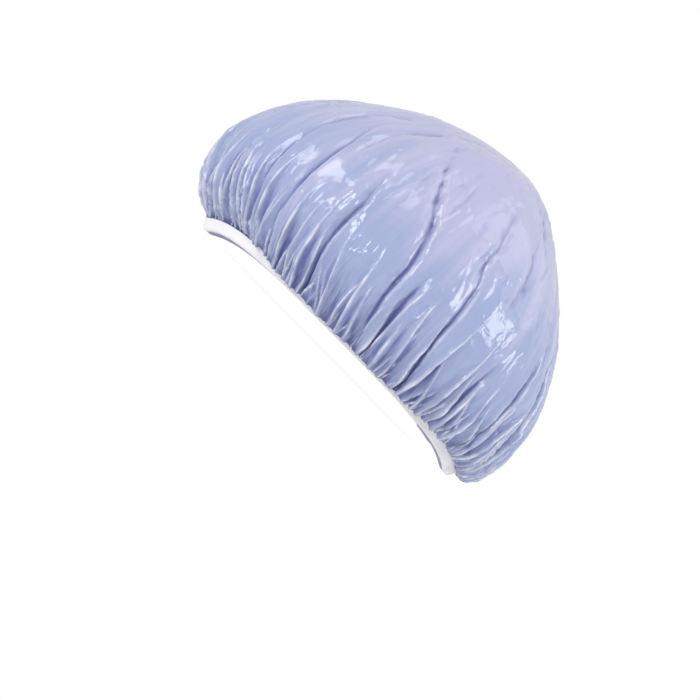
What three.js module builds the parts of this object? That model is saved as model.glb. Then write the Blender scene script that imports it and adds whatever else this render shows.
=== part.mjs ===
// Shower cap of gathered film, standing on its hem.
// Millimetres, +Z up. The origin is the middle of the head opening, on the plane that the hem stands on.
// The forehead is at -X, the nape at +X and the ears at -Y and +Y.
import * as THREE from "three";

// Head opening, measured along the fold of the hem
const OPENING_LENGTH = 213;
const OPENING_WIDTH = 154;
const EAR_LIFT = 11; // how far the hem rides up over the ears
const REST_ARC = 12; // degrees of hem that lie flat, each side of the forehead and the nape
const EAR_EASE = 0.15; // how gently the hem leaves that flat

// Hem, from the outside in: tape, film, elastic, tape
const TAPE_THICKNESS = 0.35;
const FILM_THICKNESS = 0.55;
const ELASTIC_THICKNESS = 0.7;
const ELASTIC_WIDTH = 5;
const ELASTIC_END_GAP = 1;
const HEM_GAP = 0.3; // between any two layers
const HEM_MARGIN = 0.85; // tape standing above the elastic
const HEM_FLARE = 0.5; // outward run of the hem for each unit of its rise
const FOLD_CHAMFER = 0.5;

// Lapped ends of the tape, and the thread that sews the hem
const LAP_ANGLE = 35; // degrees from the nape
const LAP_LENGTH = 14;
const LAP_STEP_LENGTH = 5; // stretch in which the covering end widens
const THREAD_DIAMETER = 0.4;
const STITCH_INSET = 1.5; // needle thread below the tape's upper edge
const BARTACK_LENGTH = 5;
const BARTACK_CLEARANCE = 1; // from the fold and from the needle thread
const BARTACK_LINES = 6;

// Film crown
const CROWN_HEIGHT = 164.5;
const CROWN_TOP_X = 8;
const SHOULDER_HEIGHT = 52; // where the crown is widest
const SHOULDER_EAR_LIFT = 6;
const FRONT_OVERHANG = 28.5; // crown beyond the hem
const BACK_OVERHANG = 15.5;
const SIDE_OVERHANG = 26.5;
const FRONT_FULLNESS = 1.72; // 1 is a straight cone, 2 an ellipse
const BACK_FULLNESS = 1.48;
const SIDE_FULLNESS = 2.1;
const FILM_EXIT_RISE = 2; // film above the tape before it turns out
const SKIRT_REACH = 6; // first billow of the film, out from the hem
const SKIRT_FRONT_RISE = 2.6;
const SKIRT_BACK_RISE = -3.4;
const SKIRT_SIDE_RISE = -5.5; // the film hangs over the tape at the ears
const SIDE_DROOP = 1.5; // how closely that keeps to the ears
const BILLOW_RUN = 13; // how far the film keeps its outward course
const BILLOW_SLOPE = 0.7;
const BILLOW_TURN = 20; // how far it climbs upright below the shoulder

// Long folds of the film, sharp on the side towards the nape: degrees at each level, and length
const FOLD_LEVELS = [0, 90, 170]; // along the film, up from the hem
const FOLDS = [
  { degrees: [8, 7, 2], run: 120 },
  { degrees: [25, 27, 33], run: 150 },
  { degrees: [42, 40, 46], run: 95 },
  { degrees: [59, 62, 70], run: 135 },
  { degrees: [75, 76, 84], run: 165 },
  { degrees: [95, 92, 101], run: 110 },
  { degrees: [111, 113, 118], run: 150 },
  { degrees: [128, 125, 131], run: 90 },
  { degrees: [146, 149, 144], run: 140 },
  { degrees: [163, 161, 157], run: 115 },
  { degrees: [181, 183, 178], run: 100 },
  { degrees: [198, 196, 190], run: 130 },
  { degrees: [214, 211, 202], run: 85 },
  { degrees: [228.5, 223, 212], run: 100 },
  { degrees: [238, 236, 226], run: 135 },
  { degrees: [254, 253.5, 240], run: 112 },
  { degrees: [275.2, 273, 248], run: 172 },
  { degrees: [280, 278, 262], run: 86 },
  { degrees: [294, 290, 277], run: 128 },
  { degrees: [309, 310, 300], run: 76 },
  { degrees: [323, 326, 316], run: 108 },
  { degrees: [340, 341, 335], run: 125 },
];
const FOLD_DEPTH = 5;
const FOLD_ONSET = 40; // film in which a fold reaches that depth
const FOLD_FADE = 0.4; // share of its length in which a fold runs out
const SOFT_SLOPE = 8; // width of a fold's slope towards the forehead, at the hem
const SHARP_SLOPE = 5; // and of the one towards the nape
const CLOSE_FOLDS = 14.6; // degrees between folds that meet at one ridge
const WIDE_PANEL = 25; // degrees between folds whose panel has a line in its middle

// Facets
const SHORTEST_FACET = 0.6; // of the hem
const BILLOW_ROWS = [0, 0.35, 0.65, 1]; // shares of the way from skirt to shoulder
const CROWN_ROWS = [20, 40, 60, 77]; // degrees over the crown, from the shoulder
const THREAD_SIDES = 5;
const BARTACK_TURN_STEPS = 4;

// Sizes that follow from those above
const CHANNEL_HALF = (HEM_GAP + FILM_THICKNESS + HEM_GAP + ELASTIC_THICKNESS + HEM_GAP) / 2;
const HEM_HALF = CHANNEL_HALF + TAPE_THICKNESS;
const CHANNEL_FLOOR = TAPE_THICKNESS + HEM_GAP;
const HEM_HEIGHT = CHANNEL_FLOOR + ELASTIC_WIDTH + HEM_MARGIN;
const FILM_OFFSET = CHANNEL_HALF - HEM_GAP - FILM_THICKNESS / 2;
const LAP_GROWTH = TAPE_THICKNESS + HEM_GAP;
const THREAD_RADIUS = THREAD_DIAMETER / 2;
const THREAD_OFFSET = HEM_HALF + HEM_GAP + THREAD_RADIUS;
const STITCH_HEIGHT = HEM_HEIGHT - STITCH_INSET;

const TURN = 2 * Math.PI;
const SMALL_ANGLE = TURN / 360;

const UP = new THREE.Vector3(0, 0, 1);
const radians = THREE.MathUtils.degToRad;
const lerp = THREE.MathUtils.lerp;

// Hem line: an ellipse whose sides ride up over the ears
function earShare(angle) {
  const flat = Math.sin(radians(REST_ARC));
  const beyond = Math.max(Math.abs(Math.sin(angle)) - flat, 0) / (1 - flat);
  const eased = (beyond ** 2 * (1 + EAR_EASE)) / (beyond + EAR_EASE);
  return eased * (2 - eased);
}

function hemLine(angle) {
  const x = (OPENING_LENGTH / 2) * Math.cos(angle);
  const y = (OPENING_WIDTH / 2) * Math.sin(angle);
  return new THREE.Vector3(x, y, EAR_LIFT * earShare(angle));
}

function outward(angle) {
  return new THREE.Vector3(OPENING_WIDTH * Math.cos(angle), OPENING_LENGTH * Math.sin(angle), 0).normalize();
}

// A point of the hem's section: up from the fold, and out from the middle of the layers
function curvedHemPoint(angle, up, out) {
  return hemLine(angle).addScaledVector(outward(angle), out + HEM_FLARE * up).addScaledVector(UP, up);
}

// Angle that a length along the hem spans at a given place
function spanAngle(length, angle) {
  const alongX = (OPENING_LENGTH / 2) * Math.sin(angle);
  const alongY = (OPENING_WIDTH / 2) * Math.cos(angle);
  return length / Math.hypot(alongX, alongY);
}

// Where a fold lies at a distance up the film from the hem
function foldAngle(fold, level) {
  const [low, middle, high] = FOLD_LEVELS;
  const [foot, half, top] = fold.degrees;
  const lower = lerp(foot, half, THREE.MathUtils.clamp((level - low) / (middle - low), 0, 1));
  const upper = lerp(0, top - half, THREE.MathUtils.clamp((level - middle) / (high - middle), 0, 1));
  return radians(lower + upper);
}

// Angles that the two slopes of a fold span, before and after its bottom
function slopeAngles(fold) {
  const [foot] = fold.degrees;
  const slopes = foot < 180 ? [SHARP_SLOPE, SOFT_SLOPE] : [SOFT_SLOPE, SHARP_SLOPE];
  return slopes.map((slope) => spanAngle(slope, radians(foot)));
}

// Lines of the film from hem to crown, as angles at a level: folds, their edges and the middle of a wide panel
const FILM_LINES = FOLDS.flatMap((fold, i) => {
  const isLast = i === FOLDS.length - 1;
  const next = isLast ? FOLDS[0] : FOLDS[i + 1];
  const lap = isLast ? TURN : 0;
  const [, after] = slopeAngles(fold);
  const [before] = slopeAngles(next);
  const bottom = (level) => foldAngle(fold, level);
  const nextBottom = (level) => foldAngle(next, level) + lap;
  const edge = (level) => bottom(level) + after;
  const nextEdge = (level) => nextBottom(level) - before;
  const gap = nextBottom(0) - bottom(0);
  if (gap < radians(CLOSE_FOLDS)) {
    const ridge = (level) => lerp(bottom(level), nextBottom(level), after / (after + before));
    return [bottom, ridge];
  }
  if (gap > radians(WIDE_PANEL)) {
    return [bottom, edge, (level) => (edge(level) + nextEdge(level)) / 2, nextEdge];
  }
  return [bottom, edge, nextEdge];
});

// The hem's pieces run straight from line to line, as the film does, so their gaps stay even
const HEM_CORNERS = FILM_LINES.map((line) => line(0));

function hemPoint(angle, up, out) {
  const place = THREE.MathUtils.euclideanModulo(angle - HEM_CORNERS[0], TURN) + HEM_CORNERS[0];
  const corners = [...HEM_CORNERS, HEM_CORNERS[0] + TURN];
  const side = Math.max(corners.findIndex((corner) => corner > place), 1);
  const share = (place - corners[side - 1]) / (corners[side] - corners[side - 1]);
  return curvedHemPoint(corners[side - 1], up, out).lerp(curvedHemPoint(corners[side], up, out), share);
}

// The corners from one angle to another, with both ends included
function hemAngles(first, last) {
  const turns = [0, TURN, 2 * TURN];
  const corners = turns.flatMap((turn) => HEM_CORNERS.map((corner) => corner + turn));
  const isClear = (corner) => {
    const shortest = spanAngle(SHORTEST_FACET, corner);
    return corner > first + shortest && corner < last - shortest;
  };
  return [first, ...corners.filter(isClear), last];
}

// Solid between successive sections, which are equal lists of points, anticlockwise seen from the one before
function loft(sections, isRing) {
  const corners = [];
  const addTriangle = (a, b, c) => {
    const collapsed = a.equals(b) || b.equals(c) || c.equals(a);
    if (!collapsed) corners.push(a, b, c);
  };
  const spans = isRing ? sections.length : sections.length - 1;
  for (let i = 0; i < spans; i++) {
    const here = sections[i];
    const next = sections[(i + 1) % sections.length];
    // The second half of a section faces the first, so its facets are cut to match across the wall
    here.forEach((point, j) => {
      const k = (j + 1) % here.length;
      if (j < here.length / 2) {
        addTriangle(point, next[k], here[k]);
        addTriangle(point, next[j], next[k]);
      } else {
        addTriangle(point, next[j], here[k]);
        addTriangle(here[k], next[j], next[k]);
      }
    });
  }
  return { corners, addTriangle };
}

function geometryOf(corners) {
  return new THREE.BufferGeometry().setFromPoints(corners);
}

function ringSolid(sections) {
  return geometryOf(loft(sections, true).corners);
}

// An open strip has its ends closed with the triangles of its flat section
function stripSolid(sections, firstOutline, lastOutline) {
  const { corners, addTriangle } = loft(sections, false);
  const last = sections[sections.length - 1];
  for (const [a, b, c] of THREE.ShapeUtils.triangulateShape(firstOutline, [])) {
    addTriangle(sections[0][a], sections[0][b], sections[0][c]);
  }
  for (const [a, b, c] of THREE.ShapeUtils.triangulateShape(lastOutline, [])) {
    addTriangle(last[c], last[b], last[a]);
  }
  return geometryOf(corners);
}

// An outline in the hem's section, as (out, up) points, set at one place of the hem
function hemSection(angle, outline) {
  return outline.map((point) => hemPoint(angle, point.y, point.x));
}

// Lap: where the covering end of the tape starts and stops
const LAP_START = radians(LAP_ANGLE);
const LAP_END = LAP_START + spanAngle(LAP_LENGTH, LAP_START);
const LAP_STEP = spanAngle(LAP_STEP_LENGTH, LAP_START);
const LAP_MIDDLE = (LAP_START + LAP_END) / 2;

// Hem binding: the covering end is wider by one tape and one gap on every side
function bindingOutline(isCovering) {
  const growth = isCovering ? LAP_GROWTH : 0;
  const face = HEM_HALF + growth;
  const wall = CHANNEL_HALF + growth;
  const floor = TAPE_THICKNESS - growth;
  return [
    [FOLD_CHAMFER - face, -growth],
    [face - FOLD_CHAMFER, -growth],
    [face, FOLD_CHAMFER - growth],
    [face, HEM_HEIGHT],
    [wall, HEM_HEIGHT],
    [wall, floor],
    [-wall, floor],
    [-wall, HEM_HEIGHT],
    [-face, HEM_HEIGHT],
    [-face, FOLD_CHAMFER - growth],
  ].map(([out, up]) => new THREE.Vector2(out, up));
}

function hemBinding() {
  const plain = bindingOutline(false);
  const covering = bindingOutline(true);
  const sections = [
    ...hemAngles(LAP_START, LAP_START + TURN - LAP_STEP).map((a) => hemSection(a, plain)),
    ...hemAngles(LAP_START + TURN, LAP_END + TURN).map((a) => hemSection(a, covering)),
  ];
  return stripSolid(sections, plain, covering);
}

// Elastic: against the inner tape, with its ends butted under the lap
function elasticBand() {
  const inner = HEM_GAP - CHANNEL_HALF;
  const outer = inner + ELASTIC_THICKNESS;
  const top = CHANNEL_FLOOR + ELASTIC_WIDTH;
  const outline = [
    new THREE.Vector2(inner, CHANNEL_FLOOR),
    new THREE.Vector2(outer, CHANNEL_FLOOR),
    new THREE.Vector2(outer, top),
    new THREE.Vector2(inner, top),
  ];
  const halfGap = spanAngle(ELASTIC_END_GAP, LAP_MIDDLE) / 2;
  const angles = hemAngles(LAP_MIDDLE + halfGap, LAP_MIDDLE + TURN - halfGap);
  return stripSolid(angles.map((a) => hemSection(a, outline)), outline, outline);
}

// Thread: a round section in the plane of an outward and an upward direction
function threadSection(centre, out, up) {
  return Array.from({ length: THREAD_SIDES }, (_, i) => {
    const turn = (TURN * i) / THREAD_SIDES;
    const point = centre.clone().addScaledVector(out, THREAD_RADIUS * Math.cos(turn));
    return point.addScaledVector(up, THREAD_RADIUS * Math.sin(turn));
  });
}

// A sewn line lies on one face of the hem, and steps over the covering end at the lap
function sewnLine(side) {
  const section = (angle, growth) => {
    const centre = hemPoint(angle, STITCH_HEIGHT, side * (THREAD_OFFSET + growth));
    return threadSection(centre, outward(angle), UP);
  };
  const sections = [
    ...hemAngles(LAP_END + LAP_STEP, LAP_START + TURN - LAP_STEP).map((a) => section(a, 0)),
    ...hemAngles(LAP_START + TURN, LAP_END + TURN).map((a) => section(a, LAP_GROWTH)),
  ];
  return ringSolid(sections);
}

// Bartack: one thread that zigzags on the covering end, between the fold and the needle thread
function bartackPath() {
  const pitch = BARTACK_LENGTH / (BARTACK_LINES - 1);
  const radius = pitch / 2;
  const low = BARTACK_CLEARANCE + radius;
  const high = STITCH_HEIGHT - BARTACK_CLEARANCE - radius;
  const path = [];
  const addPoint = (along, up) => {
    const angle = LAP_MIDDLE + spanAngle(along - BARTACK_LENGTH / 2, LAP_MIDDLE);
    path.push(hemPoint(angle, up, THREAD_OFFSET + LAP_GROWTH));
  };
  for (let line = 0; line < BARTACK_LINES; line++) {
    const isRising = line % 2 === 0;
    const along = line * pitch;
    const end = isRising ? high : low;
    addPoint(along, isRising ? low : high);
    addPoint(along, end);
    if (line === BARTACK_LINES - 1) break;
    for (let step = 1; step < BARTACK_TURN_STEPS; step++) {
      const turn = (Math.PI * step) / BARTACK_TURN_STEPS;
      const beyond = isRising ? radius * Math.sin(turn) : -radius * Math.sin(turn);
      addPoint(along + radius - radius * Math.cos(turn), end + beyond);
    }
  }
  return path;
}

function lapBartack() {
  const out = outward(LAP_MIDDLE);
  const path = bartackPath();
  const sections = path.map((point, i) => {
    const before = path[Math.max(i - 1, 0)];
    const after = path[Math.min(i + 1, path.length - 1)];
    const along = after.clone().sub(before).normalize();
    const across = out.clone().cross(along).normalize();
    return threadSection(point, along.clone().cross(across), across);
  });
  const circle = threadSection(new THREE.Vector3(), new THREE.Vector3(1, 0, 0), new THREE.Vector3(0, 1, 0));
  const outline = circle.map((point) => new THREE.Vector2(point.x, point.y));
  return stripSolid(sections, outline, outline);
}

// Crown film, as one profile for each angle: up out of the hem, out over it, and over the crown
const FILM_EXIT = HEM_HEIGHT + FILM_EXIT_RISE;

function shoulderPoint(angle) {
  const exit = FILM_OFFSET + HEM_FLARE * FILM_EXIT;
  const halfLength = OPENING_LENGTH / 2 + exit + (FRONT_OVERHANG + BACK_OVERHANG) / 2;
  const halfWidth = OPENING_WIDTH / 2 + exit + SIDE_OVERHANG;
  const middle = (BACK_OVERHANG - FRONT_OVERHANG) / 2;
  const height = SHOULDER_HEIGHT + SHOULDER_EAR_LIFT * earShare(angle);
  return new THREE.Vector3(middle + halfLength * Math.cos(angle), halfWidth * Math.sin(angle), height);
}

function skirtRise(angle) {
  const end = Math.cos(angle) < 0 ? SKIRT_FRONT_RISE : SKIRT_BACK_RISE;
  return lerp(end, SKIRT_SIDE_RISE, earShare(angle) ** SIDE_DROOP);
}

function billow(angle) {
  const out = outward(angle);
  const skirt = curvedHemPoint(angle, FILM_EXIT, FILM_OFFSET + SKIRT_REACH);
  skirt.addScaledVector(UP, skirtRise(angle));
  const course = out.clone().addScaledVector(UP, BILLOW_SLOPE).normalize();
  const shoulder = shoulderPoint(angle);
  return new THREE.CubicBezierCurve3(
    skirt,
    skirt.clone().addScaledVector(course, BILLOW_RUN),
    shoulder.clone().addScaledVector(UP, -BILLOW_TURN),
    shoulder,
  );
}

function crownPoint(angle, degrees) {
  const shoulder = shoulderPoint(angle);
  const along = lerp(BACK_FULLNESS, FRONT_FULLNESS, (1 - Math.cos(angle)) / 2);
  const fullness = lerp(along, SIDE_FULLNESS, Math.sin(angle) ** 2);
  const inShare = Math.cos(radians(degrees)) ** (2 / fullness);
  const upShare = Math.sin(radians(degrees)) ** (2 / fullness);
  const top = CROWN_HEIGHT - FILM_THICKNESS / 2;
  const x = lerp(CROWN_TOP_X, shoulder.x, inShare);
  return new THREE.Vector3(x, shoulder.y * inShare, lerp(shoulder.z, top, upShare));
}

function filmProfile(angle) {
  const curve = billow(angle);
  return [
    curvedHemPoint(angle, CHANNEL_FLOOR, FILM_OFFSET),
    curvedHemPoint(angle, FILM_EXIT, FILM_OFFSET),
    ...BILLOW_ROWS.map((share) => curve.getPoint(share)),
    ...CROWN_ROWS.map((degrees) => crownPoint(angle, degrees)),
  ];
}

// How far up the film from the hem each row of a profile lies
function rowLevels(profile) {
  let level = -profile[0].distanceTo(profile[1]);
  return profile.map((point, row) => {
    level += row > 0 ? point.distanceTo(profile[row - 1]) : 0;
    return level;
  });
}

// How deep the film is drawn in at a place: full along the bottom of a fold, and nothing on the panels
function drawnIn(angle, level) {
  const depths = FOLDS.map((fold) => {
    const away = THREE.MathUtils.euclideanModulo(angle - foldAngle(fold, level) + TURN / 2, TURN) - TURN / 2;
    const [before, after] = slopeAngles(fold);
    const share = 1 - Math.abs(away) / (away < 0 ? before : after);
    const rising = THREE.MathUtils.smoothstep(level, 0, FOLD_ONSET);
    const running = 1 - THREE.MathUtils.smoothstep(level, (1 - FOLD_FADE) * fold.run, fold.run);
    return FOLD_DEPTH * share * rising * running;
  });
  return Math.max(0, ...depths);
}

// Outward direction of the film in one row, longer at a corner of the profile so that the wall keeps its width
function filmNormal(angle, row) {
  const profile = filmProfile(angle);
  const before = filmProfile(angle - SMALL_ANGLE)[row];
  const around = filmProfile(angle + SMALL_ANGLE)[row].sub(before);
  const below = profile[Math.max(row - 1, 0)];
  const above = profile[Math.min(row + 1, profile.length - 1)];
  const facing = (from, to) => around.clone().cross(to.clone().sub(from)).normalize();
  const lower = row > 0 ? facing(below, profile[row]) : facing(profile[row], above);
  const upper = row < profile.length - 1 ? facing(profile[row], above) : lower;
  const middle = lower.clone().add(upper).normalize();
  return middle.divideScalar(middle.dot(lower));
}

function filmSection(line) {
  const levels = rowLevels(filmProfile(line(0)));
  const outer = [];
  const inner = [];
  levels.forEach((level, row) => {
    const angle = line(level);
    const normal = filmNormal(angle, row);
    const point = filmProfile(angle)[row].addScaledVector(normal, -drawnIn(angle, level));
    outer.push(point.clone().addScaledVector(normal, FILM_THICKNESS / 2));
    inner.push(point.clone().addScaledVector(normal, -FILM_THICKNESS / 2));
  });
  const topOutside = new THREE.Vector3(CROWN_TOP_X, 0, CROWN_HEIGHT);
  const topInside = new THREE.Vector3(CROWN_TOP_X, 0, CROWN_HEIGHT - FILM_THICKNESS);
  return [...outer, topOutside, topInside, ...inner.reverse()];
}

function crownFilm() {
  return ringSolid(FILM_LINES.map((line) => filmSection(line)));
}

// Finishes
const glossyFilm = { color: "#aab3dc", roughness: 0.2, metalness: 0 };
const whiteTape = { color: "#f2f1f0", roughness: 0.7, metalness: 0 };
const knitElastic = { color: "#e9e6e2", roughness: 0.85, metalness: 0 };
const sewingThread = { color: "#f6f5f2", roughness: 0.6, metalness: 0 };

function piece(name, geometry, finish) {
  geometry.computeVertexNormals();
  const mesh = new THREE.Mesh(geometry, new THREE.MeshStandardMaterial(finish));
  mesh.name = name;
  return mesh;
}

const showerCap = new THREE.Group();
showerCap.add(
  piece("crown_film", crownFilm(), glossyFilm),
  piece("hem_binding", hemBinding(), whiteTape),
  piece("elastic_band", elasticBand(), knitElastic),
  piece("needle_thread", sewnLine(1), sewingThread),
  piece("bobbin_thread", sewnLine(-1), sewingThread),
  piece("lap_bartack", lapBartack(), sewingThread),
);

export default showerCap;
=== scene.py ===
"""Shower cap of glossy vinyl film gathered on an elastic hem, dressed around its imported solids.

The code works in millimetres and hands metres to Blender. The frame is that of the solids: +Z up, the front
of the cap at -X, its back at +X, its sides at -Y and +Y, and the hem standing on z = 0.
"""

import logging
import math
from collections.abc import Sequence
from dataclasses import dataclass
from enum import Enum
from functools import cached_property
from typing import Any

import bpy
import numpy as np
from mathutils import Matrix, Vector


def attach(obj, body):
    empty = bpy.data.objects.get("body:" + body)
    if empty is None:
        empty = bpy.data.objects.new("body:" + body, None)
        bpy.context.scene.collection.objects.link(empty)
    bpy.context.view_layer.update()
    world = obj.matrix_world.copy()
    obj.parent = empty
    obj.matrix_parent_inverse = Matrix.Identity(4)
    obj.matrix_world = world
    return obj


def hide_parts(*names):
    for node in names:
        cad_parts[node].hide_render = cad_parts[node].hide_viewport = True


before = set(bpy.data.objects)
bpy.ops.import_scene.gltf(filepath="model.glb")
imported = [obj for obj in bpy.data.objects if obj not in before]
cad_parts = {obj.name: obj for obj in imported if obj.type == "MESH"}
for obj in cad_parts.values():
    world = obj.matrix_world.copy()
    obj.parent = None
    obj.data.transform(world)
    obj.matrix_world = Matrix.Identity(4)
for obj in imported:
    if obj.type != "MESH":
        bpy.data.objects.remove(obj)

log = logging.getLogger("shower_cap")

Array = np.ndarray
Piece = bpy.types.Object
Socket = bpy.types.NodeSocket
Tree = bpy.types.NodeTree

MM = 0.001
TURN = 2 * math.pi
BAKE_UV = "OFBake"
RUN_UV = "hem_run"
UP = np.array([0.0, 0.0, 1.0])
WHITE = (1.0, 1.0, 1.0, 1.0)
RANGE = ("From Min", "From Max", "To Min", "To Max")


class Face(Enum):
    """The two faces of the hem."""

    OUTSIDE = 1
    INSIDE = -1


def linear(hex_colour: str) -> tuple[float, float, float, float]:
    """Turns an sRGB hex colour into linear RGBA.

    Args:
        hex_colour: Six hex digits after a hash.

    Returns:
        Linear red, green, blue and an alpha of 1.
    """
    shares = [int(hex_colour[i : i + 2], 16) / 255 for i in (1, 3, 5)]
    red, green, blue = (s / 12.92 if s <= 0.04045 else ((s + 0.055) / 1.055) ** 2.4 for s in shares)
    return red, green, blue, 1.0


def add_node(
    tree: Tree, kind: str, inputs: dict[str | int, Any] | None = None, **settings: Any
) -> bpy.types.Node:
    """Adds one node to a tree.

    Args:
        tree: The tree that takes the node.
        kind: Blender's name of the node type, without its ShaderNode prefix.
        inputs: What its input sockets take, by name or number: a value, or another node's output socket.
        settings: Properties of the node.

    Returns:
        The new node.
    """
    node = tree.nodes.new("ShaderNode" + kind)
    for name, value in settings.items():
        setattr(node, name, value)
    for name, source in (inputs or {}).items():
        if isinstance(source, Socket):
            tree.links.new(source, node.inputs[name])
        else:
            node.inputs[name].default_value = source
    return node


def emptied(owner: bpy.types.Material | bpy.types.World) -> Tree:
    """Turns on the nodes of a material or a world, and empties them.

    Args:
        owner: The material or world.

    Returns:
        Its empty node tree.
    """
    owner.use_nodes = True
    owner.node_tree.nodes.clear()
    return owner.node_tree


def smoothstep(value: Array | float, low: Array | float, high: Array | float) -> Array:
    """Eases from 0 at low to 1 at high."""
    share = np.clip((value - low) / (high - low), 0.0, 1.0)
    return share * share * (3 - 2 * share)


def unit(vectors: Array) -> Array:
    """Scales vectors along the last axis to length 1."""
    return vectors / np.maximum(np.linalg.norm(vectors, axis=-1, keepdims=True), 1e-9)


def summed(steps: Array) -> Array:
    """Adds up steps along the last axis, from 0."""
    return np.concatenate([np.zeros((*steps.shape[:-1], 1)), np.cumsum(steps, axis=-1)], axis=-1)


def round_steps(points: Array) -> Array:
    """Gives the distance from each point of a closed row to the next, by row and column."""
    return np.linalg.norm(np.roll(points, -1, axis=1) - points, axis=-1)


def run_places(along: Array, across: Array) -> Array:
    """Pairs lengths along a run with lengths across it, one row for each point."""
    return np.stack(np.broadcast_arrays(along, across), axis=-1).reshape(-1, 2)


def mesh_piece(name: str, points: Array, faces: Sequence[Sequence[int]]) -> Piece:
    """Makes a smooth-shaded mesh object.

    Args:
        name: Name of the piece.
        points: Points in millimetres, one row each.
        faces: Corner numbers of each face.

    Returns:
        The new object, linked to the scene.
    """
    mesh = bpy.data.meshes.new(name)
    mesh.from_pydata((points * MM).tolist(), [], faces)
    mesh.polygons.foreach_set("use_smooth", [True] * len(mesh.polygons))
    mesh.validate()
    piece = bpy.data.objects.new(name, mesh)
    bpy.context.scene.collection.objects.link(piece)
    return piece


def set_uv(piece: Piece, name: str, places: Array) -> None:
    """Gives each point of a piece one place in a UV map.

    Args:
        piece: The mesh object.
        name: Name of the UV map.
        places: Two numbers for each point.
    """
    layer = piece.data.uv_layers.new(name=name)
    corners = np.empty(len(piece.data.loops), dtype=np.int32)
    piece.data.loops.foreach_get("vertex_index", corners)
    layer.data.foreach_set("uv", places[corners].astype(np.float32).ravel())


def tube_faces(rings: int, sides: int, first: int = 0) -> list[tuple[int, ...]]:
    """Joins an open run of closed rings, with both ends capped.

    Args:
        rings: Number of rings, which follow each other in the point list.
        sides: Points in each ring.
        first: Number of the first point.

    Returns:
        Quads along the run and one face at each end.
    """
    faces = []
    for ring in range(rings - 1):
        here = first + ring * sides
        for side in range(sides):
            after = (side + 1) % sides
            faces.append((here + side, here + after, here + sides + after, here + sides + side))
    faces.append(tuple(first + side for side in reversed(range(sides))))
    faces.append(tuple(first + (rings - 1) * sides + side for side in range(sides)))
    return faces


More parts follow.
